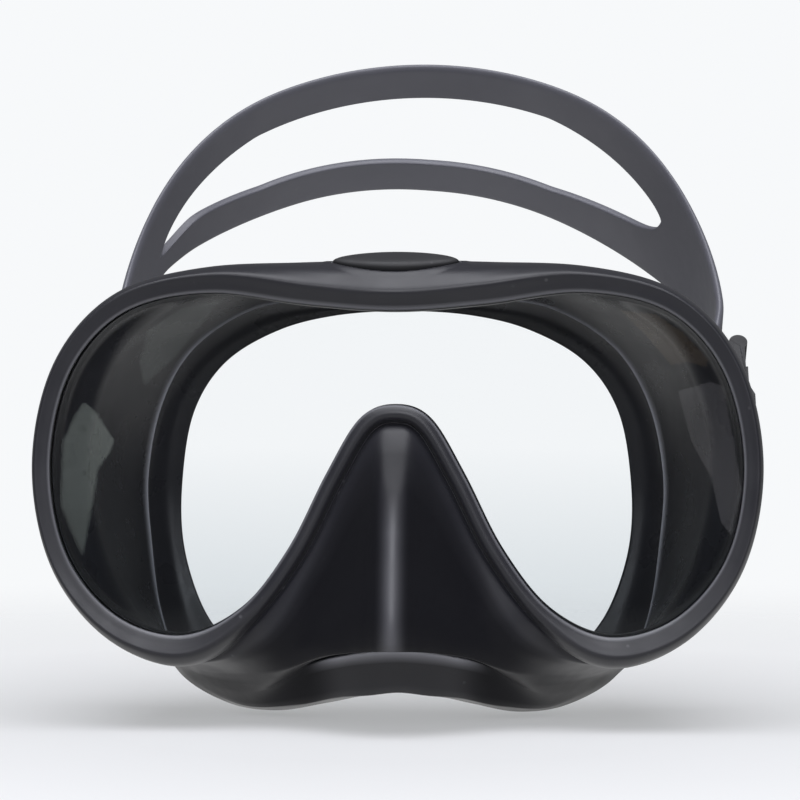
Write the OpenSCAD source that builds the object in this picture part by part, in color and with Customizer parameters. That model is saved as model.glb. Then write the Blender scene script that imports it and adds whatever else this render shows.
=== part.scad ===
// Frameless single-lens diving mask: one flat lens moulded into a soft skirt
// with a nose pocket, and a split head strap on two swivel buckles.
// Millimetres. +Z up, the lens faces -Y, the wearer's face is on the +Y side.
// The origin is on the lens's front face, midway up its bridge.

/* [Lens] */
// Thickness of the flat lens
lens_t = 3.6; // [3:0.1:4]
// Thickness of the step round the lens that the rim's lip covers
lens_step = 1; // [0.8:0.1:1.2]
// How far the stepped edge of the lens reaches under the rim
lens_tuck = 2; // [1.5:0.1:2.1]

/* [Skirt] */
// Height of the rim's widest row below the origin
row_drop = 24.45; // [24.45]
// Wall thickness of the skirt beside the rim
wall_t = 2; // [1.6:0.1:2.2]
// Thickness of the seal at its free edge
seal_t = 0.9; // [0.7:0.1:1.2]
// How far the nose pocket stands out in front of the lens
nose_out = 15; // [10:0.5:20]

/* [Strap] */
// Swing of the strap above straight back, as it stands at rest
swing = 51; // [20:1:60]
// Distance from the swivel axis to the back of the strap loop
loop_len = 115; // [105:0.5:125]
// Half width of the strap loop
loop_half_w = 72.3; // [72:0.1:72.6]
// Thickness of the strap
strap_t = 2; // [1.8:0.1:2]
// Width of the strap where it runs through the buckles
strap_w = 20.4; // [18:0.2:20.4]
// Width of the whole strap at the back of the head
back_w = 46; // [44:1:56]
// Width of the split between the two bands
split_w = 24; // [16:1:26]

/* [Buckle] */
// Distance of the swivel axis behind the lens's front face
swivel_y = 28; // [27.5:0.1:28.5]
// Height of the swivel axis above the rim's widest row
swivel_z = -4; // [-5:0.5:-3]
// Radius of the swivel pin's shank
pin_r = 2.5; // [2.2:0.1:2.6]
// Distance from the swivel axis to the roller's axis
roller_u = 24; // [23.5:0.1:25]
// Radius of the strap roller
roller_r = 2; // [1.9:0.05:2]
// Distance from the swivel axis to the release lever's pin
lever_u = 14; // [13.5:0.1:14.5]
// Distance from the swivel axis to the end of the lever's tab
tab_u = 41; // [40:0.5:44]

/* [Hidden] */
$fn = 48;

silicone = [0.17, 0.17, 0.18];
hard_plastic = [0.11, 0.11, 0.12];
clear_glass = [0.80, 0.88, 0.90, 0.35];
steel = [0.72, 0.73, 0.74];

seat_gap = 0.05;        // gap left round a part seated in the silicone
run_gap = 0.05;         // radial clearance of a running fit
steps = 4;              // samples between two neighbouring stations
frame_depth = 4.4;      // depth of the core frame, along Y
frame_out = 3.1;        // outer edge of the core frame, outside the lens window
frame_in = 0.15;        // inner edge of the core frame
frame_y = lens_t + 0.1; // front face of the core frame

// ---------------------------------------------------------------------
// Stations run from the top centre, round the +X side, under the cheek and up
// the nose notch to its apex. Each list has one entry a station.

// Edge of the lens window, [x, z] from the middle of the widest row
window = [[0, 35.3], [20, 36.7], [42, 39.3], [61, 34.9], [73.2, 21.5],
  [77.8, 1], [74.2, -19.5], [63, -33.4], [48, -38], [34.4, -32],
  [23.6, -18.5], [15.1, -1.8], [7.6, 10.6], [0, 13.6]];
// Width of the rim round the window
rim_w = [11.3, 9.9, 6, 4.9, 4.5, 4.4, 4.6, 5.9, 7.8, 7.8, 5, 4.4, 4.35, 4.35];
// Where the skirt's wall leaves the rim, outwards from the window
wall_d = [6.5, 6, 2.5, -2, -4.2, -4.6, -4.2, -0.5, 7, 7.6, 5.2, 4.5, 4.35, 4.35];
// 1 where the rim borders the nose pocket
at_nose = [0, 0, 0, 0, 0, 0, 0, 0, 0.05, 0.9, 1, 1, 1, 1];
// Fold where the wall turns into the face seal, [x, y, z]
fold = [[0, 31, 40.5], [18, 32, 40.5], [35, 34.5, 38.3], [50.5, 39, 29],
  [59.5, 43.5, 15], [63.3, 45, -3], [62.3, 43.5, -20], [59.5, 41, -37],
  [53.8, 40, -49.8], [42, 39, -57], [30, 37, -58.6], [18, 34.5, -56.5],
  [8, 32.5, -54.3], [0, 32, -53.5]];
// Free edge of the face seal, [x, y, z]
seal_edge = [[0, 37, 36], [16, 38, 35], [30, 40.5, 31.5], [43, 44.5, 24],
  [51, 48, 12], [54, 49.5, -5], [53.5, 48.5, -20], [49, 46.5, -34],
  [42.5, 45, -43], [34.5, 43, -48.5], [26, 40, -51], [16.5, 38, -49.5],
  [8, 36.5, -48], [0, 36, -47.5]];
// Nose pocket between the rim and the fold at its five stations: [x, share of
// nose_out stood out in front of the lens, z], from the rim down to the lip
pocket = [
  [[28.8, -0.1, -40.6], [28.6, -0.25, -43.4], [29.2, -0.5, -46.6], [32, -1.15, -51.4]],
  [[17.2, 0.12, -26.5], [16, 0.32, -33], [16.8, 0.36, -40.2], [19.4, -1, -46.3]],
  [[8.6, 0.32, -11], [9.2, 0.66, -26], [10, 0.72, -38.4], [11.5, -0.85, -43.6]],
  [[4.4, 0.42, -6], [4.8, 0.86, -24], [5.2, 0.92, -38], [5.8, -0.8, -42.8]],
  [[0, 0.45, -5], [0, 0.96, -23.5], [0, 1.02, -37.8], [0, -0.8, -42.6]]];
first_nose = 9; // index of the first station on the nose pocket

stations = len(window);
samples = (2 * stations - 2) * steps;

function mix(a, b, t) = a + (b - a) * t;
function clamp01(t) = min(1, max(0, t));
function unit(v) = v / norm(v);
function wrap(i, n) = (i + n) % n;

// Catmull-Rom curve from b to c, with neighbours a and d
function spline(a, b, c, d, t) =
  (2 * b + (c - a) * t + (2 * a - 5 * b + 4 * c - d) * t * t
  + (3 * b - a - 3 * c + d) * t * t * t) / 2;
function closed_curve(p, n) = [for (i = [0:len(p) - 1], j = [0:n - 1])
  spline(p[wrap(i - 1, len(p))], p[i], p[wrap(i + 1, len(p))],
    p[wrap(i + 2, len(p))], j / n)];
function open_curve(p, n) = [for (i = [0:len(p) - 2], j = [0:n - 1])
  spline(p[max(i - 1, 0)], p[i], p[i + 1], p[min(i + 2, len(p) - 1)], j / n),
  p[len(p) - 1]];

// A full ring of values from the half ring that the stations give
function flip(p) = is_num(p) ? p : [for (k = [0:len(p) - 1]) k == 0 ? -p[k] : p[k]];
function ring(half) = concat(half,
  [for (k = [stations - 2:-1:1]) flip(half[k])]);
function sampled(half) = closed_curve(ring(half), steps);

window_ring = sampled(window);
rim_ring = sampled(rim_w);
wall_ring = sampled(wall_d);
nose_ring = [for (w = sampled(at_nose)) clamp01(w)];

// Outward normal of the window's edge at a sample
function outward(i) = let(
  a = window_ring[wrap(i - 1, samples)],
  b = window_ring[wrap(i + 1, samples)],
  t = unit(b - a)) [-t[1], t[0]];
function offset_point(i, d) = window_ring[i] + outward(i) * d;
function window_offset(d) = [for (i = [0:samples - 1]) offset_point(i, d)];

// Rim section as [distance outwards from the window, depth], from the inner
// face of the wall, round the frame groove and the lens groove, over the lip
// and the outside of the rim, to the outer face of the wall
function rim_beside(w, s) = [
  [mix(-0.6, s - wall_t, 0.5), 11], [-0.6, 9.4],
  [-0.6, lens_t + seat_gap], [0.1, lens_t + seat_gap],
  [0.1, frame_y + frame_depth + seat_gap],
  [frame_out + seat_gap, frame_y + frame_depth + seat_gap],
  [frame_out + seat_gap, lens_t + seat_gap],
  [lens_tuck + 0.15, lens_t + seat_gap],
  [lens_tuck + 0.15, lens_step - seat_gap], [0.15, lens_step - seat_gap],
  [0.15, -0.4], [1.2, -1.5], [2.4, -1.6],
  [mix(2.4, w, 0.58 - 0.012 * (w - 4.8)), -0.9 - 0.27 * (w - 4.8)],
  [mix(2.4, w, 0.93) - 0.22 * (w - 4.8), 1.1],
  [w - 0.12 * (w - 4.8), 5.5], [w, 10.6], [w - 0.9, 12.8], [mix(w, s, 0.5), 13.9]];
rim_at_nose = [
  [4.2, 9.3], [-0.6, 9.4],
  [-0.6, lens_t + seat_gap], [0.1, lens_t + seat_gap],
  [0.1, frame_y + frame_depth + seat_gap],
  [frame_out + seat_gap, frame_y + frame_depth + seat_gap],
  [frame_out + seat_gap, lens_t + seat_gap],
  [lens_tuck + 0.15, lens_t + seat_gap],
  [lens_tuck + 0.15, lens_step - seat_gap], [0.15, lens_step - seat_gap],
  [0.15, -0.4], [1.1, -1.4], [2, -1.5],
  [2.7, -1.2], [3.2, -0.5],
  [3.45, 0.4], [3.7, 0.7], [3.95, 0.7], [4.15, 0.5]];
function rim_section(i) = let(
  beside = rim_beside(rim_ring[i], wall_ring[i]))
  [for (k = [0:len(beside) - 1])
    let(q = mix(beside[k], rim_at_nose[k], nose_ring[i]),
      p = offset_point(i, q[0])) [p[0], q[1], p[1]]];

// Rows of the skirt's outer skin, from the rim to the free edge of the seal
wall_start = [for (k = [0:stations - 1])
  let(i = k * steps, p = offset_point(i, wall_d[k]))
  [p[0], mix(14.6, 0.2, at_nose[k]), p[1]]];
function wall_row(share, level) = [for (k = [0:stations - 1])
  k < first_nose
    ? [mix(wall_start[k][0], fold[k][0], pow(share, 1.25)),
       mix(wall_start[k][1], fold[k][1], share),
       mix(wall_start[k][2], fold[k][2], pow(share, 1.25))]
    : let(q = pocket[k - first_nose][level]) [q[0], -q[1] * nose_out, q[2]]];
seal_mid = [for (k = [0:stations - 1]) mix(fold[k], seal_edge[k], 0.5)
  + [0, 2.2, 0]];
skin_rings = [sampled(wall_start), sampled(wall_row(0.25, 0)),
  sampled(wall_row(0.5, 1)), sampled(wall_row(0.7, 2)),
  sampled(wall_row(0.86, 3)), sampled(fold), sampled(seal_mid),
  sampled(seal_edge)];
skin_steps = 2;
skin_rows = (len(skin_rings) - 1) * skin_steps + 1;
skin = [for (i = [0:samples - 1])
  open_curve([for (r = skin_rings) r[i]], skin_steps)];
function skin_normal(i, j) = unit(cross(
  skin[wrap(i + 1, samples)][j] - skin[wrap(i - 1, samples)][j],
  skin[i][min(j + 1, skin_rows - 1)] - skin[i][max(j - 1, 0)]));
function skin_t(j) = mix(wall_t, seal_t, pow(j / (skin_rows - 1), 1.3));
function skirt_section(i) = concat(
  [for (j = [skin_rows - 1:-1:0]) skin[i][j] - skin_normal(i, j) * skin_t(j)],
  rim_section(i), skin[i]);

module loft(sections) {
  n = len(sections);
  m = len(sections[0]);
  polyhedron(
    points = [for (s = sections) for (p = s) p],
    faces = [for (i = [0:n - 1], j = [0:m - 1])
      let(a = i * m + j, b = i * m + (j + 1) % m,
        c = ((i + 1) % n) * m + (j + 1) % m, d = ((i + 1) % n) * m + j)
      each [[a, b, c], [a, c, d]]],
    convexity = 8);
}

// Moves children from the widest row's frame into the part's frame
module on_row() {
  translate([0, 0, -row_drop]) children();
}

// Stands a flat [x, z] outline up, from depth y0 to depth y1
module upright(y0, y1) {
  translate([0, y1, 0]) rotate([90, 0, 0]) linear_extrude(y1 - y0) children();
}

// ---------------------------------------------------------------------
// Lens, core frame, badge and skirt

module lens() {
  color(clear_glass) on_row() {
    upright(0, lens_step) polygon(window_ring);
    upright(lens_step, lens_t) polygon(window_offset(lens_tuck));
  }
}

module core_frame() {
  color(hard_plastic) on_row() upright(frame_y, frame_y + frame_depth) difference() {
    polygon(window_offset(frame_out));
    polygon(window_offset(frame_in));
  }
}

badge_half = [14.2, 4.7];  // half length and half width of the badge
badge_at = [0, 5.2, 45.9]; // middle of the badge on the brow's surface
badge_tilt = 20;           // slope of the brow's surface under the badge
badge_up = 1.7;            // how far the badge stands up
badge_down = 1.5;          // depth of the recess it sits in
badge_gap = 0.5;           // gap round the badge
badge_crown = 0.9;         // depth of the badge's stepped edge
// An almond outline, drawn out to a soft point at both ends
function almond(a, b) = [for (t = [0:7.5:352.5])
  [a * cos(t), b * sin(t) * pow(abs(sin(t)), 0.35)]];
module badge_layer(z0, z1, inset) {
  translate([0, 0, z0]) linear_extrude(z1 - z0)
    polygon(almond(badge_half[0] - 1.6 * inset, badge_half[1] - inset));
}
module on_brow() {
  on_row() translate(badge_at) rotate([badge_tilt, 0, 0]) children();
}

module brow_badge() {
  mid = badge_up - badge_crown / 2;
  color(silicone) on_brow() {
    badge_layer(seat_gap - badge_down, badge_up - badge_crown, 0);
    badge_layer(badge_up - badge_crown, mid, 0.6);
    badge_layer(mid, badge_up, 1.8);
  }
}

module skirt() {
  color(silicone) difference() {
    on_row() loft([for (i = [0:samples - 1]) skirt_section(i)]);
    on_brow() badge_layer(-badge_down, 10, -badge_gap);
    on_row() anchor_slot();
    on_row() mirror([1, 0, 0]) anchor_slot();
  }
}

// ---------------------------------------------------------------------
// Buckles. The right one is modelled in its own frame: U runs from the swivel
// axis along the strap (+Y here), V across the strap (+Z), X away from the
// wearer. on_swivel() places it at the strap's resting swing.

ear_x = 74.4;         // inner face of the anchor's ear
ear_t = 2.2;          // thickness of the ear
ear_r = 7;            // radius of the ear round the swivel pin
root_x = [78, 80.4]; // span of the anchor's root behind the core frame
root_h = 10;          // height of the anchor's root
root_y = frame_y + frame_depth + 0.1; // front face of the root
web_y = [15.2, 17.6]; // span of the web that joins the root to the ear
hub_x = ear_x + ear_t + 0.2;          // inner face of the buckle's hub plate
hub_t = 1.8;          // thickness of the hub plate
hub_r = 7.5;          // radius of the hub plate round the swivel pin
cheek_v = 10.6;       // inner face of the buckle's cheeks, from the centre line
cheek_t = 1.7;        // thickness of a cheek
roller_x = 75.4;      // the roller's axis
axle_r = 1;           // radius of the roller's axle
lever_pin_x = 80.5;   // the lever pin's axis
lever_pin_r = 0.9;    // radius of the lever's pin
lever_hub_r = 1.7;    // radius of the lever round its pin
lever_half = 9.4;     // half width of the lever
lever_x = 79.8;       // inner face of the lever's plate
lever_t = 1.4;        // thickness of the lever's plate
shoulder_u = 27;      // where the lever's plate starts to narrow to its finger tab
tab_half = 4.4;       // half width of the finger tab
tab_r = 2.2;          // radius of the finger tab's rolled end
clip_x = hub_x + hub_t + 0.15;        // inner face of the retaining clip
clip_t = 0.8;         // thickness of the retaining clip
groove_r = 1.9;       // radius of the pin's groove under the clip

module on_swivel() {
  on_row() translate([0, swivel_y, swivel_z]) rotate([swing, 0, 0]) children();
}

// A cylinder along X from x0 to x1, and one along V (+Z) of half length h
module rod_x(r, x0, x1) {
  translate([x0, 0, 0]) rotate([0, 90, 0]) cylinder(r = r, h = x1 - x0);
}
module rod_v(r, h, x, u) {
  translate([x, u, -h]) cylinder(r = r, h = 2 * h);
}

module side(is_left) {
  if (is_left) mirror([1, 0, 0]) children();
  else children();
}

module anchor_slot() {
  slot = 0.1; // clearance round the anchor's root
  translate([root_x[0] - slot, root_y - 0.2, swivel_z - root_h / 2 - slot])
    cube([root_x[1] - root_x[0] + 2 * slot, 8, root_h + 2 * slot]);
}

module anchor() {
  low = swivel_z - root_h / 2;
  color(hard_plastic) on_row() difference() {
    union() {
      translate([root_x[0], root_y, low])
        cube([root_x[1] - root_x[0], web_y[1] - root_y, root_h]);
      translate([ear_x, web_y[0], low])
        cube([root_x[1] - ear_x, web_y[1] - web_y[0], root_h]);
      translate([ear_x, web_y[0], swivel_z - ear_r])
        cube([ear_t, swivel_y - web_y[0], 2 * ear_r]);
      translate([0, swivel_y, swivel_z]) rod_x(ear_r, ear_x, ear_x + ear_t);
    }
    translate([0, swivel_y, swivel_z])
      rod_x(pin_r + 0.02, ear_x - 1, ear_x + ear_t + 1);
  }
}

module swivel_pin() {
  head_r = 4.2;
  head_x = 73;
  end_x = clip_x + clip_t + 0.6;
  color(steel) on_row() translate([0, swivel_y, swivel_z]) {
    rod_x(head_r, head_x, ear_x - 0.05);
    rod_x(pin_r, ear_x - 0.05, clip_x - 0.05);
    rod_x(groove_r, clip_x - 0.05, clip_x + clip_t + 0.05);
    rod_x(pin_r - 0.2, clip_x + clip_t + 0.05, end_x);
  }
}

module retaining_clip() {
  mouth = 3;
  clip_r = 4.3;
  color(steel) on_row() translate([0, swivel_y, swivel_z]) difference() {
    rod_x(clip_r, clip_x, clip_x + clip_t);
    rod_x(groove_r + 0.02, clip_x - 1, clip_x + clip_t + 1);
    translate([clip_x - 1, -mouth / 2, 0]) cube([clip_t + 2, mouth, clip_r + 1]);
  }
}

module cheek_outline() {
  polygon([[hub_x, 8], [hub_x, 7], [79, 7], [lever_pin_x - 1.6, 10.4],
    [lever_pin_x + 1.7, 12], [lever_pin_x + 1.7, 16.4], [80.6, 20],
    [79.4, 31], [77.6, 32.6], [73.4, 32.6], [72.6, 31], [72.6, 19],
    [73.8, 16], [hub_x, 14]]);
}

module cheek() {
  translate([0, 0, cheek_v]) linear_extrude(cheek_t) cheek_outline();
}

module buckle_body() {
  plate_end = roller_u - roller_r - strap_t - 0.7;
  color(hard_plastic) on_swivel() difference() {
    union() {
      rod_x(hub_r, hub_x, hub_x + hub_t);
      translate([hub_x, 0, -hub_r]) cube([hub_t, 9, 2 * hub_r]);
      translate([hub_x, 8, -cheek_v - cheek_t])
        cube([hub_t, plate_end - 8, 2 * (cheek_v + cheek_t)]);
      cheek();
      mirror([0, 0, 1]) cheek();
    }
    rod_x(pin_r + run_gap, hub_x - 1, hub_x + hub_t + 1);
    rod_v(axle_r + 0.02, cheek_v + cheek_t + 1, roller_x, roller_u);
    rod_v(lever_pin_r + 0.02, cheek_v + cheek_t + 1, lever_pin_x, lever_u);
  }
}

module strap_roller() {
  color(hard_plastic) on_swivel() difference() {
    rod_v(roller_r, cheek_v - 0.1, roller_x, roller_u);
    rod_v(axle_r + run_gap, cheek_v + 1, roller_x, roller_u);
  }
}

module roller_axle() {
  color(steel) on_swivel() rod_v(axle_r, cheek_v + cheek_t, roller_x, roller_u);
}

module lever_pin() {
  color(steel) on_swivel() rod_v(lever_pin_r, cheek_v + cheek_t, lever_pin_x, lever_u);
}

module lever_side() {
  polygon([[lever_x, lever_u], [lever_x, roller_u - 3], [lever_x - 0.2, roller_u - 2.4],
    [lever_x, roller_u - 1.8], [lever_x - 0.2, roller_u - 1.2], [lever_x, roller_u - 0.6],
    [lever_x - 0.2, roller_u], [lever_x, roller_u + 0.6], [lever_x, tab_u - tab_r],
    [lever_x + lever_t, tab_u - tab_r], [lever_x + lever_t, lever_u]]);
}

module lever_face() {
  polygon([[-lever_half, lever_u], [lever_half, lever_u], [lever_half, shoulder_u],
    [tab_half, shoulder_u + 4], [tab_half, tab_u], [-tab_half, tab_u],
    [-tab_half, shoulder_u + 4], [-lever_half, shoulder_u]]);
}

module release_lever() {
  color(hard_plastic) on_swivel() difference() {
    union() {
      intersection() {
        translate([0, 0, -lever_half]) linear_extrude(2 * lever_half) lever_side();
        translate([lever_x + lever_t + 2, 0, 0]) rotate([0, -90, 0])
          linear_extrude(lever_t + 4) lever_face();
      }
      rod_v(tab_r, tab_half, lever_x - 0.1, tab_u - tab_r);
      rod_v(lever_hub_r, lever_half, lever_pin_x, lever_u);
    }
    rod_v(lever_pin_r + run_gap, lever_half + 1, lever_pin_x, lever_u);
  }
}

// ---------------------------------------------------------------------
// Strap: a ribbon round the loop, cut to its outline across the strap

loop_u = 43;      // where the loop is widest
wrap_r = roller_r + 0.1 + strap_t / 2;  // strap's centre line round the roller
tail_u = 33;      // free end of the strap's tail, outside the roller
arc_step = 3;     // degrees between samples of the loop

// Half of the ribbon's edge at a given offset from the centre line, from the
// free end of the tail, round the roller, to the back of the loop, as [x, u]
function ribbon_edge(off) = concat(
  [[roller_x + wrap_r + off, tail_u]],
  [for (t = [0:15:180]) [roller_x + (wrap_r + off) * cos(t),
    roller_u - (wrap_r + off) * sin(t)]],
  [for (t = [0:arc_step:90])
    let(n = unit([loop_half_w * sin(90 - t) * (loop_len - loop_u) ^ 2,
      sin(t) * (loop_len - loop_u) * loop_half_w ^ 2]))
    [loop_half_w * cos(t), loop_u + (loop_len - loop_u) * sin(t)] - n * off]);

// The same edge carried on past the back of the loop to the other tail
function both_sides(edge) = concat(edge,
  [for (k = [len(edge) - 2:-1:0]) [-edge[k][0], edge[k][1]]]);

module ribbon() {
  outer = both_sides(ribbon_edge(-strap_t / 2));
  inner = both_sides(ribbon_edge(strap_t / 2));
  polygon(concat(outer, [for (k = [len(inner) - 1:-1:0]) inner[k]]));
}

// Outline of the strap seen from the side, as [u, v]
function taper(s) = s * s * (3 - 2 * s);
flare_u = [46, 106];    // where the strap starts and stops growing wider
split_u = [76, 104];    // where the split starts, and where it is full
function half_width(u) = mix(strap_w, back_w,
  taper(clamp01((u - flare_u[0]) / (flare_u[1] - flare_u[0])))) / 2;
function half_split(u) = split_w / 2
  * pow(clamp01((u - split_u[0]) / (split_u[1] - split_u[0])), 0.6);
module strap_outline() {
  us = [for (u = [roller_u - 6:4:loop_len + 4]) u];
  ss = [for (u = [split_u[0]:2:loop_len + 4]) u];
  difference() {
    polygon(concat([for (u = us) [u, half_width(u)]],
      [for (k = [len(us) - 1:-1:0]) [us[k], -half_width(us[k])]]));
    polygon(concat([for (u = ss) [u, half_split(u)]],
      [for (k = [len(ss) - 1:-1:1]) [ss[k], -half_split(ss[k])]]));
  }
}

module strap() {
  color(silicone) on_swivel() intersection() {
    translate([0, 0, -back_w / 2 - 1]) linear_extrude(back_w + 2) ribbon();
    translate([-100, 0, 0]) rotate([0, 90, 0]) rotate([0, 0, 90])
      linear_extrude(200) strap_outline();
  }
}

lens();
skirt();
core_frame();
brow_badge();
strap();
side(true) anchor();  // left_anchor
side(true) swivel_pin();  // left_swivel_pin
side(true) retaining_clip();  // left_retaining_clip
side(true) buckle_body();  // left_buckle_body
side(true) strap_roller();  // left_strap_roller
side(true) roller_axle();  // left_roller_axle
side(true) release_lever();  // left_release_lever
side(true) lever_pin();  // left_lever_pin
side(false) anchor();  // right_anchor
side(false) swivel_pin();  // right_swivel_pin
side(false) retaining_clip();  // right_retaining_clip
side(false) buckle_body();  // right_buckle_body
side(false) strap_roller();  // right_strap_roller
side(false) roller_axle();  // right_roller_axle
side(false) release_lever();  // right_release_lever
side(false) lever_pin();  // right_lever_pin
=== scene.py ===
"""Looks of the frameless diving mask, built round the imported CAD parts. Sizes are in millimetres until MM."""

import math

import bmesh
import bpy
import numpy as np
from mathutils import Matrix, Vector


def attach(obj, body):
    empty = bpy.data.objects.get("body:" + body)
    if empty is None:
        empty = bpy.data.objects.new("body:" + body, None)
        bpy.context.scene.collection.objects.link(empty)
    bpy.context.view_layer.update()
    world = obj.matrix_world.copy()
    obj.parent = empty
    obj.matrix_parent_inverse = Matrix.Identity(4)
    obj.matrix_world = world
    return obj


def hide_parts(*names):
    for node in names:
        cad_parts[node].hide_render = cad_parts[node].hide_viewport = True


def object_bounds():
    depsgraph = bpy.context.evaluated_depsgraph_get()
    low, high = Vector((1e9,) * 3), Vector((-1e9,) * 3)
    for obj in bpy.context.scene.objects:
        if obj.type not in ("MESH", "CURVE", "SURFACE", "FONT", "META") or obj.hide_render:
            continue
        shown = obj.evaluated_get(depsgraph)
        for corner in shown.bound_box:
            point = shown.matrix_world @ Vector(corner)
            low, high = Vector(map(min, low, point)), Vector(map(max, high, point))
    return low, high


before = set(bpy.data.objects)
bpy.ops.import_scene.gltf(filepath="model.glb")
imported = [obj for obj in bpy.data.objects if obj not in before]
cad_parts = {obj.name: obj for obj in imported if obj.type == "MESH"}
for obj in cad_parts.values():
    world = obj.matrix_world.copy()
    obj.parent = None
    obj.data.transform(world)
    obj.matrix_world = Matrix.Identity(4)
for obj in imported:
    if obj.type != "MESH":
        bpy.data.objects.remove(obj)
cad_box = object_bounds()
MM = 0.001

# --- Driving sizes, shared with the CAD part ---------------------------------------------------

ROW_DROP = 24.45  # the rim's widest row lies this far under the origin
LENS_T = 3.6
LENS_STEP = 1.0
LENS_TUCK = 2.0
FRAME_Y = LENS_T + 0.1
FRAME_DEPTH = 4.4
FRAME_OUT = 3.1
WALL_T = 2.0
SEAL_T = 0.7
NOSE_OUT = 15.0
SEAT_GAP = 0.05
SWING = math.radians(51)
SWIVEL_Y = 28.0
SWIVEL_Z = -4.0
LOOP_LEN = 115.0
LOOP_HALF_W = 72.3
LOOP_U = 43.0
STRAP_T = 2.0
STRAP_W = 20.4
BACK_W = 46.0
SPLIT_W = 24.0
FLARE_U = (46.0, 106.0)
SPLIT_U = (76.0, 104.0)
ROLLER_X = 75.4
ROLLER_U = 24.0
ROLLER_R = 2.0
TAIL_U = 33.0

# Stations run from the top centre, round the +X side, under the cheek and up the nose notch to
# its apex. Points are [x, z] or [x, y, z] from the middle of the widest row.
WINDOW = [[0, 35.3], [20, 36.7], [42, 39.3], [61, 34.9], [73.2, 21.5], [77.8, 1], [74.2, -19.5],
          [63, -33.4], [48, -38], [34.4, -32], [23.6, -18.5], [15.1, -1.8], [7.6, 10.6], [0, 13.6]]
RIM_W = [11.3, 9.9, 6, 4.9, 4.5, 4.4, 4.6, 5.9, 7.8, 7.8, 5, 4.4, 4.35, 4.35]
WALL_D = [6.5, 6, 2.5, -2, -4.2, -4.6, -4.2, -0.5, 7, 7.6, 5.2, 4.5, 4.35, 4.35]
AT_NOSE = [0, 0, 0, 0, 0, 0, 0, 0, 0.05, 0.9, 1, 1, 1, 1]
FOLD = [[0, 31, 40.5], [18, 32, 40.5], [35, 34.5, 38.3], [50.5, 39, 29], [59.5, 43.5, 15],
        [63.3, 45, -3], [62.3, 43.5, -20], [59.5, 41, -37], [53.8, 40, -49.8], [42, 39, -57],
        [30, 37, -58.6], [18, 34.5, -56.5], [8, 32.5, -54.3], [0, 32, -53.5]]
SEAL_EDGE = [[0, 37, 36], [16, 38, 35], [30, 40.5, 31.5], [43, 44.5, 24], [51, 48, 12],
             [54, 49.5, -5], [53.5, 48.5, -20], [49, 46.5, -34], [42.5, 45, -43],
             [34.5, 43, -48.5], [26, 40, -51], [16.5, 38, -49.5], [8, 36.5, -48], [0, 36, -47.5]]
# The nose pocket's rows at its five stations: [x, share of NOSE_OUT in front of the lens, z]
POCKET = [
    [[28.8, -0.1, -40.6], [28.6, -0.25, -43.4], [29.2, -0.5, -46.6], [31, -0.95, -50]],
    [[17.2, 0.12, -26.5], [16, 0.28, -33], [16.6, 0.36, -42], [19.4, -0.9, -44.6]],
    [[8.6, 0.34, -11], [9.2, 0.56, -26], [10, 0.7, -40.6], [11.5, -0.8, -42.3]],
    [[4.4, 0.52, -6], [4.8, 0.77, -24], [5.2, 0.93, -40], [5.8, -0.8, -41.4]],
    [[0, 0.58, -5], [0, 0.87, -23], [0, 1.04, -39.8], [0, -0.8, -41.2]],
]
# The chin panel under the pocket: its upper brink and its foot at the same stations, [x, y, z]
BRINK = [[34, 20, -52.5], [20, 13.5, -45.4], [12, 11.1, -43.2], [5.9, 10.4, -42.2], [0, 10.4, -42]]
CHIN = [[38, 28.5, -56.2], [24, 20, -55.4], [14, 16.5, -53.2], [6.8, 15, -52.6], [0, 15, -51.9]]
RIDGE_H = 1.9      # height of the crest down the middle of the pocket
RIDGE_HALF = 6.0   # half its width at the foot
RIDGE_R = 2.2      # roundness of the crest
FIRST_NOSE = 9
POCKET_END = 4     # place of the pocket's last row among the rings of the skirt's skin
FOLD_ROW = 7       # place of the fold there
FOLD_HIGHLIGHT = 1.0     # strength of the highlight painted along the fold, seen from inside
CREST_HIGHLIGHT = 0.16   # strength of the highlight painted down the crest of the nose pocket
FLAP_LEAN = 3.0    # how far the soft lip flap's +X end is pushed inwards
CHIN_SHADE_MATT = 0.9    # how dull the ends of the chin panel look, and how much painted shade darkens them
LIP_HIGHLIGHT = 0.3      # strength of the highlight painted along the lip round the lens
SKIN_Y = (14.6, -0.2)   # depth where the skin leaves the rim, beside the nose and at it
FOLD_PULL = 1.25        # above 1, the side walls turn towards the fold late
SEAL_SAG = 2.2          # how far the face seal bulges backwards between fold and edge
THIN_OUT = 1.3          # above 1, the skin keeps its thickness longer towards the seal's edge
BRINK_HOLD = 0.16       # share by which the row behind the brink leaves it; keeps the brink narrow
# Rows between the rim and the fold, as shares of the way
WALL_SHARES = (0.2, 0.4, 0.56, 0.68, 0.78, 0.87)
# Extra rows close to the fold, [share of the way to the next row, height of the bead there]
BEFORE_FOLD = [(0.45, 0.1), (0.72, 0.45), (0.87, 0.85)]
BEAD = 0.95
AFTER_FOLD = [(0.22, 0.3), (0.5, 0)]
# Rows seen from inside round the fold that get the painted highlight, [rows after the fold, share]
FOLD_SHARES = ((0, 1.0), (-1, 1.0), (-2, 0.7), (-3, 0.25), (1, 0.35))
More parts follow.
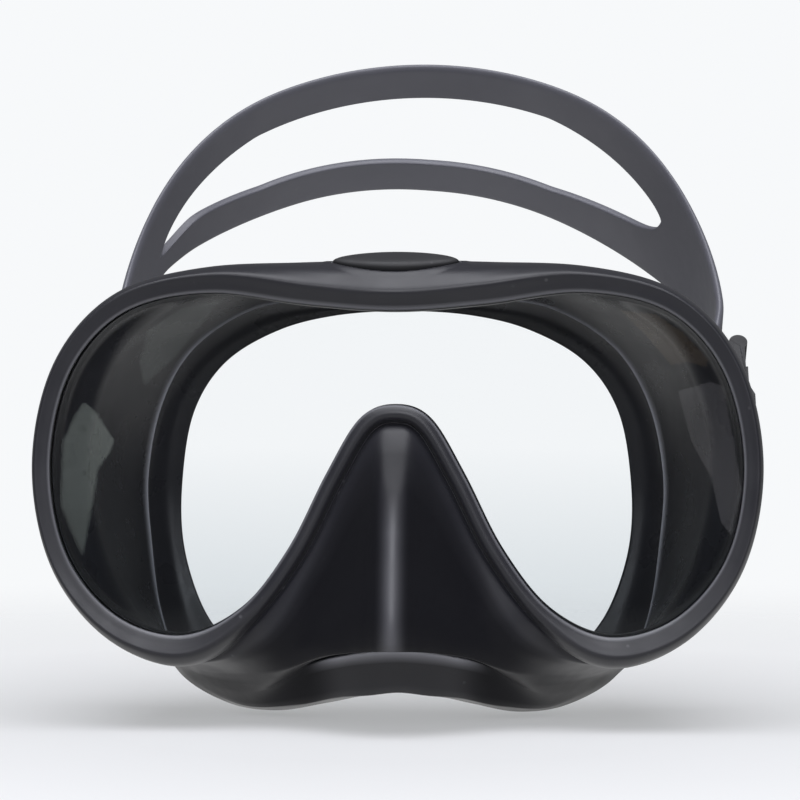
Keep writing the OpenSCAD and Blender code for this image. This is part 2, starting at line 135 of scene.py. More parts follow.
# Creased rows of the skin, [row, sharpness beside the nose, sharpness under it]
CREASES = [(2 * FOLD_ROW + len(BEFORE_FOLD), 0.7, 0.25), (2 * POCKET_END - 2, 0, 0.85),
           (2 * POCKET_END, 0, 0.8), (2 * POCKET_END + 2, 0, 0.95), (2 * POCKET_END + 4, 0, 0.75)]
STATIONS = len(WINDOW)
STEPS = 8          # samples from one station to the next
BADGE_HALF = (14.2, 4.7)
BADGE_AT = np.array([0, 5.2, 45.9])
BADGE_TILT = math.radians(20)
BADGE_UP = 1.7     # height of the badge's crown over the brow
BADGE_DOWN = 1.5   # depth of its recess
BADGE_GAP = 0.5
RECESS_REACH = np.array([3, 2.5, 3.5])  # how far round the badge the brow is cut finer
RECESS_SWELL = 0.35                     # height of the soft swelling round the recess


# --- Curves ------------------------------------------------------------------------------------

def mix(a, b, t):
    return a + (b - a) * t


def smooth(t):
    """Soft step from 0 to 1 as t goes from 0 to 1."""
    t = np.clip(t, 0, 1)
    return t * t * (3 - 2 * t)


def rise(value, start, length):
    """Soft step from 0 to 1 as value goes from start on over length."""
    return smooth((value - start) / length)


def spline(a, b, c, d, t):
    """Catmull-Rom curve from b to c, with neighbours a and d."""
    return (2 * b + (c - a) * t + (2 * a - 5 * b + 4 * c - d) * t ** 2 + (3 * b - a - 3 * c + d) * t ** 3) / 2


def closed_curve(points, n):
    """Smooth closed curve through the points, with n samples from each to the next."""
    p = np.asarray(points, float)
    count = len(p)
    return np.array([spline(p[i - 1], p[i], p[(i + 1) % count], p[(i + 2) % count], j / n)
                     for i in range(count) for j in range(n)])


def open_curve(points, n):
    """Smooth open curve through the points, with n samples from each to the next."""
    p = np.asarray(points, float)
    last = len(p) - 1
    rows = [spline(p[max(i - 1, 0)], p[i], p[i + 1], p[min(i + 2, last)], j / n)
            for i in range(last) for j in range(n)]
    return np.array(rows + [p[last]])


def sampled(half):
    """A full ring of samples from the half ring that the stations give."""
    half = np.asarray(half, float)
    other = half[-2:0:-1].copy()
    if other.ndim > 1:
        other[:, 0] *= -1
    return closed_curve(np.concatenate([half, other]), STEPS)


def at_nose():
    """Share of nose pocket at each sample of a full ring."""
    return np.clip(sampled(AT_NOSE), 0, 1)


# --- Mesh helpers ------------------------------------------------------------------------------

def make_mesh(name, points, faces):
    """A smooth mesh object from points in millimetres."""
    mesh = bpy.data.meshes.new(name)
    mesh.from_pydata((np.asarray(points) * MM).tolist(), [], faces)
    mesh.validate()
    mesh.shade_smooth()
    obj = bpy.data.objects.new(name, mesh)
    bpy.context.scene.collection.objects.link(obj)
    return obj


def on_row(points):
    """Moves points from the widest row's frame into the part's frame."""
    return np.asarray(points, float) - np.array([0, 0, ROW_DROP])


def grid_faces(rows, cols, wrap_rows, wrap_cols):
    """Quads of a grid stored row by row, closed on itself where asked."""
    faces = []
    for i in range(rows if wrap_rows else rows - 1):
        for j in range(cols if wrap_cols else cols - 1):
            a, b = i * cols, ((i + 1) % rows) * cols
            faces.append((a + j, a + (j + 1) % cols, b + (j + 1) % cols, b + j))
    return faces


def face_outwards(obj):
    work = bmesh.new()
    work.from_mesh(obj.data)
    bmesh.ops.recalc_face_normals(work, faces=work.faces)
    work.to_mesh(obj.data)
    work.free()


def subdivide(obj, levels):
    mod = obj.modifiers.new("subdivide", "SUBSURF")
    mod.levels = mod.render_levels = levels
    return mod


def apply_modifiers(obj):
    graph = bpy.context.evaluated_depsgraph_get()
    done = bpy.data.meshes.new_from_object(obj.evaluated_get(graph))
    obj.modifiers.clear()
    obj.data = done
    obj.data.shade_smooth()


# --- Skirt -------------------------------------------------------------------------------------

window_ring = sampled(WINDOW)
tangent = np.roll(window_ring, -1, 0) - np.roll(window_ring, 1, 0)
tangent /= np.linalg.norm(tangent, axis=1)[:, None]
outward = np.stack([-tangent[:, 1], tangent[:, 0]], 1)


def offset_points(d, y):
    """The window's edge moved outwards by d, at depth y; both are one value a sample."""
    flat = window_ring + outward * np.asarray(d)[:, None]
    return np.stack([flat[:, 0], np.broadcast_to(y, len(flat)), flat[:, 1]], 1)


GROOVE = [[-0.6, 9.4], [-0.6, LENS_T + SEAT_GAP], [0.1, LENS_T + SEAT_GAP],
          [0.1, FRAME_Y + FRAME_DEPTH + SEAT_GAP],
          [FRAME_OUT + SEAT_GAP, FRAME_Y + FRAME_DEPTH + SEAT_GAP],
          [FRAME_OUT + SEAT_GAP, LENS_T + SEAT_GAP], [LENS_TUCK + 0.15, LENS_T + SEAT_GAP],
          [LENS_TUCK + 0.15, LENS_STEP - SEAT_GAP], [0.15, LENS_STEP - SEAT_GAP], [0.15, -0.05]]
LIP = [[-0.3, -0.06], [-0.42, -0.28], [-0.18, -0.68]]
SIDE_W, BROW_W = 4.8, 11.3


def rim_beside(w, s):
    """Rim section as [distance outwards from the window, depth], from the wall's inner to its outer face.

    w is the rim's width there, and s how far outside the window the wall starts.
    """
    broad = w - SIDE_W
    at_side = [[0.35, -0.95], [0.25 * w, -1.08], [0.45 * w, -1.32], [0.6 * w, -1.56], [0.69 * w, -1.6],
               [0.76 * w, -1.2], [0.87 * w, 0.3], [0.95 * w, 2.2]]
    at_brow = [[0.9, -1.5], [1.4, -1.85], [0.2 * w, -2.4], [0.28 * w, -2.85], [0.35 * w, -2.9],
               [0.44 * w, -2.45], [0.58 * w, -1.3], [0.78 * w, 0.6]]
    share = min(1, max(0, broad / (BROW_W - SIDE_W)))
    front = mix(np.array(at_side), np.array(at_brow), share).tolist()
    return [[mix(-0.6, s - WALL_T, 0.5), 11], *GROOVE, *LIP, *front,
            [w - 0.12 * broad, 5.5], [w, 10.6], [w - 0.9, 12.8], [mix(w, s, 0.5), 13.9]]


RIM_AT_NOSE = [
    [4.2, 9.3], *GROOVE, *LIP,
    [0.3, -1.05], [0.9, -1.35], [1.5, -1.5], [2.1, -1.42], [2.6, -1.15], [3.0, -0.6], [3.25, 0.2], [3.4, 0.8],
    [3.55, 1.15], [3.75, 1.15], [4.0, 0.75], [4.25, 0.2],
]


def rim_columns():
    """The rim's section at every sample, one ring of points for each place in the section."""
    w, s = sampled(RIM_W), sampled(WALL_D)
    nose = at_nose()
    beside = np.array([rim_beside(w[i], s[i]) for i in range(len(w))])
    both = mix(beside, np.array(RIM_AT_NOSE)[None], nose[:, None, None])
    return [offset_points(both[:, k, 0], both[:, k, 1]) for k in range(both.shape[1])]


def skin_columns():
    """The skirt's outer skin, from the rim to the free edge of the face seal."""
    start = []
    for k in range(STATIONS):
        i = k * STEPS
        p = window_ring[i] + outward[i] * WALL_D[k]
        start.append([p[0], mix(*SKIN_Y, AT_NOSE[k]), p[1]])
    fold, edge, start = np.array(FOLD, float), np.array(SEAL_EDGE, float), np.array(start)

    def wall_row(share, level):
        power = np.array([share ** FOLD_PULL, share, share ** FOLD_PULL])
        row = mix(start, fold, power)
        for k in range(FIRST_NOSE, STATIONS):
            nose = k - FIRST_NOSE
            if level < POCKET_END:
                x, out, z = POCKET[nose][level]
                row[k] = [x, -out * NOSE_OUT, z]
            else:
                row[k] = (BRINK if level == POCKET_END else CHIN)[nose]
        return row

    middle = mix(fold, edge, 0.5) + np.array([0, SEAL_SAG, 0])
    walls = [wall_row(share, level) for level, share in enumerate(WALL_SHARES)]
    rings = np.stack([sampled(h) for h in [start, *walls, fold, middle, edge]])
    wall, flange = open_curve(rings[:FOLD_ROW + 1], 2), open_curve(rings[FOLD_ROW:], 2)
    nose = at_nose()
    for row in range(2 * POCKET_END - 1, 2 * FOLD_ROW, 2):
        near = BRINK_HOLD if row == 2 * POCKET_END + 3 else 0.5
        wall[row] = mix(wall[row], mix(wall[row - 1], wall[row + 1], near), nose[:, None])
    crest = np.clip(1 - np.hypot(wall[..., 0], RIDGE_R) / RIDGE_HALF, 0, 1)
    rows = np.arange(len(wall)) / 2
    crest *= (smooth(rows / 1.5) * smooth((POCKET_END - rows) / 0.8))[:, None]
    wall[..., 1] -= RIDGE_H * crest * nose
    for part in (wall, flange):
        flap = rise(-part[..., 2], 43, 7) * rise(part[..., 1], 14, 20)
        part[..., 0] -= FLAP_LEAN * flap * rise(part[..., 0], 0, 40)
    close = [mix(wall[-2], wall[-1], share) for share, _ in BEFORE_FOLD]
    beyond = [mix(flange[0], flange[1], share) for share, _ in AFTER_FOLD]
    return np.concatenate([wall[:-1], close, flange[:1], beyond, flange[1:]])


def bead():
    """Height of the bead inside the fold at each row of the skin; it fades out under the nose."""
    rows = np.zeros(2 * FOLD_ROW + 1 + len(BEFORE_FOLD) + len(AFTER_FOLD) + 4)
    heights = [h for _, h in BEFORE_FOLD] + [BEAD] + [h for _, h in AFTER_FOLD]
    rows[2 * FOLD_ROW:2 * FOLD_ROW + len(heights)] = heights
    return rows[:, None, None] * (1 - at_nose())[None, :, None]


def painted_highlight_edges(samples, count, inner, outer):
    """Share of painted highlight, a paler colour for light catching the chin's brink, the pocket's crest, the
    lip and the fold.
    """
    field = np.zeros((samples, count))
    nose = at_nose()
    brink = 2 * POCKET_END + 2
    first = count - len(outer)
    field[:, first + brink] = nose * smooth((21 - np.abs(outer[brink, :, 0])) / 8)
    for row in range(3, 2 * POCKET_END - 1):
        field[:, first + row] = CREST_HIGHLIGHT * nose * np.exp(-(outer[row, :, 0] / 1.5) ** 2)
    lip = len(inner) + 1 + len(GROOVE) + len(LIP) - 1
    field[:, lip] = LIP_HIGHLIGHT
    fold = 2 * FOLD_ROW + len(BEFORE_FOLD)
    for step, share in FOLD_SHARES:
        field[:, len(inner) - 1 - fold - step] = share * (1 - nose) * FOLD_HIGHLIGHT
    return field


def shaded_matt_flanks(samples, count, outer):
    """Share of dull surface darkened with painted shade: the flanks of the nose pocket, clear of its crest, and
    the ends of the chin panel.
    """
    field = np.zeros((samples, count))
    nose = at_nose()
    first = count - len(outer)
    for row in range(1, 2 * POCKET_END):
        aside = rise(np.abs(outer[row, :, 0]), 1.2, 2.6)
        field[:, first + row] = nose * np.maximum(aside * min(1, row / 2), max(0, 1 - row / 3.5))
    for row in range(2 * POCKET_END, 2 * FOLD_ROW + len(BEFORE_FOLD) + 1):
        field[:, first + row] = CHIN_SHADE_MATT * smooth(nose * 6) * rise(np.abs(outer[row, :, 0]), 12, 8)
    return field


def build_skirt():
    """The whole skirt: one closed section of inner skin, rim and outer skin, swept round the window."""
    outer = skin_columns()
    along = np.roll(outer, -1, 1) - np.roll(outer, 1, 1)
    across = np.gradient(outer, axis=0)
    normal = np.cross(along, across)
    normal /= np.linalg.norm(normal, axis=2)[:, :, None]
    share = np.linspace(0, 1, len(outer))
    thick = mix(WALL_T, SEAL_T, share ** THIN_OUT)[:, None, None]
    inner = outer - normal * (thick + bead())
    columns = list(inner[::-1]) + rim_columns() + list(outer)
    section = on_row(np.stack(columns, 1))
    samples, count = section.shape[:2]
    obj = make_mesh("skirt_soft", section.reshape(-1, 3), grid_faces(samples, count, True, True))
    finish = {"inside": np.tile(np.arange(count) < len(inner) + 2, (samples, 1)),
              "painted_highlight": painted_highlight_edges(samples, count, inner, outer),
              "matt_shade": shaded_matt_flanks(samples, count, outer)}
    for key, values in finish.items():
        field = obj.data.attributes.new(key, "FLOAT", "POINT")
        field.data.foreach_set("value", values.astype(np.float32).ravel())
    for row, beside, under in CREASES:
        sharpen(obj, samples, count, count - len(outer) + row, beside, under)
    face_outwards(obj)
    subdivide(obj, 2)
    apply_modifiers(obj)
    press_recess(obj)
    return obj


def sharpen(obj, samples, count, column, beside, under):
    """Creases one ring of the skirt, by one amount beside the nose and another under it."""
    nose = at_nose()
    wanted = {(i * count + column, (i + 1) % samples * count + column): mix(beside, under, nose[i])
              for i in range(samples)}
    crease = obj.data.attributes.get("crease_edge") or obj.data.attributes.new("crease_edge", "FLOAT", "EDGE")
    for edge in obj.data.edges:
        a, b = edge.vertices
        value = wanted.get((a, b), wanted.get((b, a)))
        if value:
            crease.data[edge.index].value = value


# --- Brow badge and its recess -----------------------------------------------------------------

def badge_frame(points):
    """Part-frame points in millimetres seen from the badge: [along, across, up]."""
    p = np.asarray(points, float) + np.array([0, 0, ROW_DROP]) - BADGE_AT
    c, s = math.cos(BADGE_TILT), math.sin(BADGE_TILT)
    return np.stack([p[..., 0], p[..., 1] * c + p[..., 2] * s, p[..., 2] * c - p[..., 1] * s], -1)


def from_badge(points):
    """Points seen from the badge, [along, across, up], in the part's frame."""
    p = np.asarray(points, float)
    c, s = math.cos(BADGE_TILT), math.sin(BADGE_TILT)
    flat = np.stack([p[..., 0], p[..., 1] * c - p[..., 2] * s, p[..., 1] * s + p[..., 2] * c], -1)
    return on_row(flat + BADGE_AT)


def almond(count, a, b):
    """Outline with pointed ends, half a long and b wide each way."""
    t = np.linspace(0, 2 * math.pi, count, endpoint=False)
    return np.stack([a * np.cos(t), b * np.sin(t) * np.abs(np.sin(t)) ** 0.35], 1)


def outside_almond(along, across, a, b):
    """Rough distance outside the almond outline, negative inside."""
    t = np.clip(1 - (along / a) ** 2, 0, 1)
    return np.maximum(np.abs(across) - b * t ** 0.675, np.abs(along) - a)


def build_badge():
    """The oval pad: a crowned top of rings and a short side wall down into its recess."""
    rings, count = 14, 96
    points = [[0, 0, BADGE_UP]]
    for k in range(1, rings + 1):
        share = k / rings
        outline = almond(count, BADGE_HALF[0] * share, BADGE_HALF[1] * share)
        height = BADGE_UP * (0.35 + 0.65 * math.sqrt(max(0, 1 - share ** 3.2)))
        points += [[x, y, height] for x, y in outline]
    for inset, height in ((0, BADGE_UP * 0.1), (0.1, -BADGE_DOWN * 0.5), (0.1, 0.1 - BADGE_DOWN)):
        outline = almond(count, BADGE_HALF[0] - inset, BADGE_HALF[1] - inset)
        points += [[x, y, height] for x, y in outline]
    faces = [(0, 1 + j, 1 + (j + 1) % count) for j in range(count)]
    rows = rings + 3
    faces += [tuple(1 + i for i in face) for face in grid_faces(rows, count, False, True)]
    faces.append(tuple(1 + (rows - 1) * count + j for j in range(count)))
    obj = make_mesh("brow_badge_soft", from_badge(points), faces)
    face_outwards(obj)
    subdivide(obj, 1)
    apply_modifiers(obj)
    return obj


def press_recess(obj):
    """Sinks the skirt's brow round and under the badge."""
    work = bmesh.new()
    work.from_mesh(obj.data)
    reach = np.array([*BADGE_HALF, 0]) + RECESS_REACH

    def near(face):
        return (np.abs(badge_frame(np.array(face.calc_center_median()) / MM)) < reach).all()

    edges = {edge for face in work.faces if near(face) for edge in face.edges}
    bmesh.ops.subdivide_edges(work, edges=list(edges), cuts=2, use_grid_fill=True)
    for vert in work.verts:
        along, across, up = badge_frame(np.array(vert.co) / MM)
        if abs(along) > reach[0] + 1 or abs(across) > reach[1] + 1 or abs(up) > reach[2]:
            continue
        away = outside_almond(along, across, *BADGE_HALF)
        depth = BADGE_DOWN * (1 - smooth((away - BADGE_GAP * 0.7) / 0.5))
        swell = RECESS_SWELL * rise(away, 0.4, 0.6) * (1 - rise(away, 1, 2.2))
        vert.co = Vector(from_badge([along, across, up - depth + swell]) * MM)
    work.to_mesh(obj.data)
    work.free()
    obj.data.shade_smooth()


# --- Strap -------------------------------------------------------------------------------------

def on_swivel(points):
    """Turns [x, u, v] points in the buckle's frame into the part's frame."""
    p = np.asarray(points, float)
    c, s = math.cos(SWING), math.sin(SWING)
    return on_row(np.stack([p[..., 0], SWIVEL_Y + p[..., 1] * c - p[..., 2] * s,
                            SWIVEL_Z + p[..., 1] * s + p[..., 2] * c], -1))


TAIL_SAMPLES, TURN_SAMPLES, RUN_SAMPLES, LOOP_SAMPLES = 8, 12, 6, 60
LOOP_START = TAIL_SAMPLES + TURN_SAMPLES + RUN_SAMPLES  # before it the strap keeps one width


def strap_path():
    """Centre line of half the strap as [x, u], from the tail's end to the back of the loop."""
    wrap = ROLLER_R + 0.1 + STRAP_T / 2
    tail = [[ROLLER_X + wrap, u] for u in np.linspace(TAIL_U, ROLLER_U, TAIL_SAMPLES, endpoint=False)]
    turn = [[ROLLER_X + wrap * math.cos(t), ROLLER_U - wrap * math.sin(t)]
            for t in np.linspace(0, math.pi, TURN_SAMPLES)]
    run = [[LOOP_HALF_W, u] for u in np.linspace(ROLLER_U, LOOP_U, RUN_SAMPLES)[1:-1]]
    loop = [[LOOP_HALF_W * math.cos(t), LOOP_U + (LOOP_LEN - LOOP_U) * math.sin(t)]
            for t in np.linspace(0, math.pi / 2, LOOP_SAMPLES)]
    return np.array(tail + turn + run + loop)


def half_width(u):
    """Half the strap's width across both bands."""
    return mix(STRAP_W, BACK_W, rise(u, FLARE_U[0], FLARE_U[1] - FLARE_U[0])) / 2


def half_split(u):
    """Half the gap between the bands."""
    return SPLIT_W / 2 * np.clip((u - SPLIT_U[0]) / (SPLIT_U[1] - SPLIT_U[0]), 0, 1) ** 0.6


# The soft strap does not lie quite evenly: it leans to +X and its bands twist a little.
LEAN = 3.2
LOW_TWIST = {"-x": 7.0, "+x": 4.1}      # how far the lower band is turned down or up, each side
LOW_FLARE = 1.1
HIGH_TWIST = -0.7
SPLIT_SHIFT = {"-x": -4.5, "+x": 7.0}   # how much later the split starts, each side
EDGE_TAPER = (0.3, 0.75, 1.0)           # thickness of the strap near its edges, from the edge inwards
BAND_COLS = 9                           # points across each band, with two more close to its edges
EDGE_SHARE = 0.06                       # how close to the edge those two lie, as a share of the band


def relax(x, u, v):
    """A strap point [x, u, v] moved from its even lie to the way the soft strap rests."""
    aside = np.clip(x / 60, -1, 1) * rise(u, 50, 24)
    aside *= mix(min(1, abs(v) / 9), 1, rise(u, 78, 14))
    if v > 0:
        v = v + HIGH_TWIST * aside
    elif v < 0:
        twist = LOW_TWIST["+x" if x > 0 else "-x"]
        v = v - twist * aside - LOW_FLARE * aside * min(1, -v / 20)
    return [x + LEAN * rise(u, 26, 22), u, v]


def strap_rows():
    """Centre line of the whole strap, its sideways direction, and its points and gap across each sample."""
    half = strap_path()
    other = half[-2::-1] * np.array([-1, 1])
    path = np.concatenate([half, other])
    ahead = np.gradient(path, axis=0)
    ahead /= np.linalg.norm(ahead, axis=1)[:, None]
    side = np.stack([ahead[:, 1], -ahead[:, 0]], 1)
    order = np.arange(len(path))
    is_loop = (order >= LOOP_START) & (order < len(path) - LOOP_START)
    wide = np.where(is_loop, half_width(path[:, 1]), STRAP_W / 2)
    aside = np.clip(path[:, 0] / 60, -1, 1)
    shift = SPLIT_SHIFT["+x"] * np.maximum(aside, 0) - SPLIT_SHIFT["-x"] * np.minimum(aside, 0)
    gap = np.where(is_loop, half_split(path[:, 1] - shift), 0)
    shares = np.concatenate([[0, EDGE_SHARE], np.linspace(0, 1, BAND_COLS)[1:-1], [1 - EDGE_SHARE, 1]])
    rows = []
    for i in range(len(path)):
        low = mix(-wide[i], -gap[i], shares)
        high = mix(gap[i], wide[i], shares)
        rows.append(np.concatenate([low, high]))
    return path, side, np.array(rows), gap


def build_strap():
    """The strap as one closed skin: both faces, the outer edges, the split's edges and the tails' ends."""
    path, side, across, gap = strap_rows()
    cols = across.shape[1]
    half = cols // 2
    points, faces, index = [], [], {}

    def vertex(i, j, k):
        """Point j across sample i, on face k: -1 inner, 1 outer. Unsplit, the bands share their points."""
        key = (i, j - 1 if j == half and gap[i] == 0 else j, k)
        if key not in index:
            index[key] = len(points)
            from_edge = min(j, cols - 1 - j)
            x, u = path[i] + side[i] * (STRAP_T / 2) * k * EDGE_TAPER[min(from_edge, len(EDGE_TAPER) - 1)]
            points.append(relax(x, u, across[i, key[1]]))
        return index[key]

    last = len(path) - 1
    banded = [j for j in range(cols - 1) if j != half - 1]
    for i in range(last):
        for k in (-1, 1):
            for j in banded:
                quad = [(i, j), (i, j + 1), (i + 1, j + 1), (i + 1, j)]
                faces.append([vertex(*place, k) for place in quad])
        split = gap[i] > 0 or gap[i + 1] > 0
        for j in (0, cols - 1, half - 1, half) if split else (0, cols - 1):
            quad = [(i, j, -1), (i, j, 1), (i + 1, j, 1), (i + 1, j, -1)]
            faces.append([vertex(*place) for place in quad])
    for i in (0, last):
        for j in banded:
            quad = [(i, j, -1), (i, j + 1, -1), (i, j + 1, 1), (i, j, 1)]
            faces.append([vertex(*place) for place in quad])
    obj = make_mesh("strap_soft", on_swivel(points), faces)
    face_outwards(obj)
    subdivide(obj, 2)
    apply_modifiers(obj)
    return obj


# --- Materials ---------------------------------------------------------------------------------

class Shader:
    """A material with short calls for its nodes."""

    def __init__(self, name):
        self.material = bpy.data.materials.new(name)
        self.material.use_nodes = True
        self.tree = self.material.node_tree
        self.tree.nodes.clear()
        self.coords = self.node("ShaderNodeTexCoord").outputs["Object"]

    def node(self, kind, **values):
        made = self.tree.nodes.new(kind)
        for key, value in values.items():
            setattr(made, key, value)
        return made

    def link(self, source, target):
        self.tree.links.new(source, target)

    def noise(self, scale, detail=4, rough=0.55):
        made = self.node("ShaderNodeTexNoise")
        made.inputs["Scale"].default_value = scale
        made.inputs["Detail"].default_value = detail
        made.inputs["Roughness"].default_value = rough
        self.link(self.coords, made.inputs["Vector"])
        return made.outputs["Fac"]

    def ramp(self, source, low, high, to_low=0.0, to_high=1.0):
        made = self.node("ShaderNodeMapRange")
        for key, value in (("From Min", low), ("From Max", high), ("To Min", to_low), ("To Max", to_high)):
            made.inputs[key].default_value = value
        self.link(source, made.inputs["Value"])
        return made.outputs["Result"]

    def math(self, operation, a, b):
        made = self.node("ShaderNodeMath", operation=operation)
        for slot, value in enumerate((a, b)):
            if isinstance(value, (int, float)):
                made.inputs[slot].default_value = value
            else:
                self.link(value, made.inputs[slot])
        return made.outputs["Value"]

    def blend(self, factor, a, b):
        made = self.node("ShaderNodeMix", data_type="RGBA")
        self.link(factor, made.inputs["Factor"])
        for key, value in ((6, a), (7, b)):
            if isinstance(value, tuple):
                made.inputs[key].default_value = (*value, 1)
            else:
                self.link(value, made.inputs[key])
        return made.outputs[2]

    def bump(self, height, strength, distance, normal=None):
        made = self.node("ShaderNodeBump")
        made.inputs["Strength"].default_value = strength
        made.inputs["Distance"].default_value = distance
        self.link(height, made.inputs["Height"])
        if normal is not None:
            self.link(normal, made.inputs["Normal"])
        return made.outputs["Normal"]

    def principled(self, **values):
        made = self.node("ShaderNodeBsdfPrincipled")
        for key, value in values.items():
            name = key.replace("_", " ")
            if isinstance(value, (int, float, tuple)):
                made.inputs[name].default_value = value
            else:
                self.link(value, made.inputs[name])
        return made

    def finish(self, surface):
        out = self.node("ShaderNodeOutputMaterial")
        self.link(surface, out.inputs["Surface"])
        return self.material


DUST = (0.16, 0.16, 0.17)
# Paler colour of the painted highlight on edges that catch the light
HIGHLIGHT_PAINT = (0.33, 0.33, 0.36)


def silicone(name, dark, light, rough_low, rough_high, polish=0.0):
    """Moulded silicone: cloudy satin finish, fine bump and a few dust specks.

    With a polish it also follows the mesh's fields: glossier inside, a paler painted highlight on edges that
    catch the light, and painted shade with less shine on the nose pocket's flanks and the chin panel's ends.
    """
    s = Shader(name)
    colour = s.blend(s.noise(35, 5), dark, light)
    specks = s.node("ShaderNodeTexVoronoi", feature="F1")
    specks.inputs["Scale"].default_value = 260
    s.link(s.coords, specks.inputs["Vector"])
    rare = s.ramp(s.noise(120, 2), 0.56, 0.66)
    dot = s.ramp(specks.outputs["Distance"], 0.14, 0.06)
    faint = s.ramp(s.math("MULTIPLY", rare, dot), 0, 1, 0, 0.3)
    colour = s.blend(faint, colour, DUST)
    rough = s.ramp(s.noise(90, 6), 0.35, 0.65, rough_low, rough_high)
    if polish:
        inside = s.node("ShaderNodeAttribute", attribute_name="inside").outputs["Fac"]
        rough = s.math("SUBTRACT", rough, s.math("MULTIPLY", inside, polish))
        matt_shade = s.node("ShaderNodeAttribute", attribute_name="matt_shade").outputs["Fac"]
        painted_highlight = s.node("ShaderNodeAttribute", attribute_name="painted_highlight").outputs["Fac"]
        # painted shade: a darker colour on the nose pocket's flanks and the chin panel's ends
        colour = s.blend(matt_shade, colour, tuple(0.55 * value for value in dark))
        # painted highlight: a paler colour on edges that catch the light
        colour = s.blend(painted_highlight, colour, HIGHLIGHT_PAINT)
    fine = s.bump(s.noise(1500, 3), 0.02, 0.0001)
    soft = s.bump(s.noise(60, 3), 0.1, 0.0006, fine)
    shader = s.principled(Base_Color=colour, Roughness=rough, Normal=soft, IOR=1.43, Sheen_Weight=0.05,
                          Sheen_Roughness=0.4)
    if polish:
        level = s.math("SUBTRACT", s.ramp(matt_shade, 0, 1, 0.5, 0.12), s.math("MULTIPLY", inside, 0.24))
        s.link(level, shader.inputs["Specular IOR Level"])
    return s.finish(shader.outputs["BSDF"])


def plastic(name):
    """Hard moulded plastic with a spark-eroded grain."""
    s = Shader(name)
    colour = s.blend(s.noise(50), (0.012, 0.012, 0.013), (0.024, 0.024, 0.026))
    rough = s.ramp(s.noise(200, 5), 0.3, 0.7, 0.4, 0.56)
    grain = s.bump(s.noise(2600, 2), 0.1, 0.0001)
    shader = s.principled(Base_Color=colour, Roughness=rough, Normal=grain, IOR=1.45)
    shader.inputs["Specular IOR Level"].default_value = 0.3
    return s.finish(shader.outputs["BSDF"])


def steel(name):
    """Brushed stainless steel."""
    s = Shader(name)
    stretch = s.node("ShaderNodeMapping")
    stretch.inputs["Scale"].default_value = (1, 12, 12)
    s.link(s.coords, stretch.inputs["Vector"])
    s.coords = stretch.outputs["Vector"]
    brushed = s.noise(700, 4)
    colour = s.blend(brushed, (0.48, 0.49, 0.5), (0.68, 0.69, 0.7))
    rough = s.ramp(brushed, 0.3, 0.7, 0.2, 0.38)
    shader = s.principled(Base_Color=colour, Metallic=1.0, Roughness=rough,
                          Normal=s.bump(brushed, 0.1, 0.0001))
    return s.finish(shader.outputs["BSDF"])


def clear_lens(name):
    """Tempered glass as a thin clear pane: a faint tint, painted shade darkening its lower part, and a Fresnel
    reflection.
    """
    s = Shader(name)
    smears = s.noise(30, 5)
    clear = s.node("ShaderNodeBsdfTransparent")
    height = s.node("ShaderNodeSeparateXYZ")
    s.link(s.coords, height.inputs["Vector"])
    # painted shade: the pane darkens towards its bottom
    low = s.ramp(height.outputs["Z"], -0.02, -0.05)
    tint = s.blend(smears, (0.988, 0.995, 0.998), (0.995, 0.999, 1.0))
    s.link(s.blend(low, tint, (0.89, 0.91, 0.92)), clear.inputs["Color"])
    shine = s.node("ShaderNodeBsdfGlossy")
    shine.inputs["Color"].default_value = (0.97, 0.98, 0.97, 1)
    shine.inputs["Roughness"].default_value = 0
    fresnel = s.node("ShaderNodeFresnel")
    fresnel.inputs["IOR"].default_value = 1.3
    pane = s.node("ShaderNodeMixShader")
    s.link(fresnel.outputs["Fac"], pane.inputs["Fac"])
    s.link(clear.outputs["BSDF"], pane.inputs[1])
    s.link(shine.outputs["BSDF"], pane.inputs[2])
    return s.finish(pane.outputs["Shader"])


def paint(obj, material, slot):
    """Gives an object one material; the slot argument is not used."""
    obj.data.materials.clear()
    obj.data.materials.append(material)
    for polygon in obj.data.polygons:
        polygon.material_index = 0


# --- The object --------------------------------------------------------------------------------

skirt_stuff = silicone("skirt_silicone", (0.012, 0.012, 0.0155), (0.018, 0.018, 0.023), 0.34, 0.46, 0.1)
strap_stuff = silicone("strap_silicone", (0.095, 0.095, 0.112), (0.125, 0.125, 0.145), 0.36, 0.48)
badge_stuff = silicone("badge_silicone", (0.012, 0.012, 0.0135), (0.018, 0.018, 0.02), 0.5, 0.62)
hard_stuff = plastic("black_plastic")
steel_stuff = steel("pin_steel")
glass_stuff = clear_lens("lens_glass")

skirt = build_skirt()
paint(skirt, skirt_stuff, "silicone")
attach(skirt, "mask")
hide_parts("skirt")

badge = build_badge()
paint(badge, badge_stuff, "badge_silicone")
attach(badge, "mask")
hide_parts("brow_badge")

strap = build_strap()
paint(strap, strap_stuff, "strap_silicone")
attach(strap, "strap_loop")
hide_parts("strap")

LOOKS = {"lens": (glass_stuff, "lens_glass")}
for kind in ("core_frame", "anchor", "buckle_body", "strap_roller", "release_lever"):
    LOOKS[kind] = (hard_stuff, "hard_plastic")
for kind in ("swivel_pin", "retaining_clip", "roller_axle", "lever_pin"):
    LOOKS[kind] = (steel_stuff, "steel")
SHARP_KINDS = ("lens", "release_lever")  # their edges are moulded or ground already
BEVEL = 0.2


def soften_edges(obj, width):
    """A small bevel along the sharp edges of a CAD part."""
    weld = obj.modifiers.new("weld", "WELD")
    weld.merge_threshold = 1e-6
    bevel = obj.modifiers.new("bevel", "BEVEL")
    bevel.width = width * MM
    bevel.segments = 2
    bevel.limit_method = "ANGLE"
    bevel.angle_limit = math.radians(35)


for name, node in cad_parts.items():
    kind = name.removeprefix("left_").removeprefix("right_")
    if kind in LOOKS:
        paint(node, *LOOKS[kind])
        if kind not in SHARP_KINDS:
            soften_edges(node, BEVEL)


# --- Stage -------------------------------------------------------------------------------------

FLOOR_HALF = 0.6
FLOOR_GAP = 0.0005
PALE_GLOW = (0.97, 0.985, 1, 1)


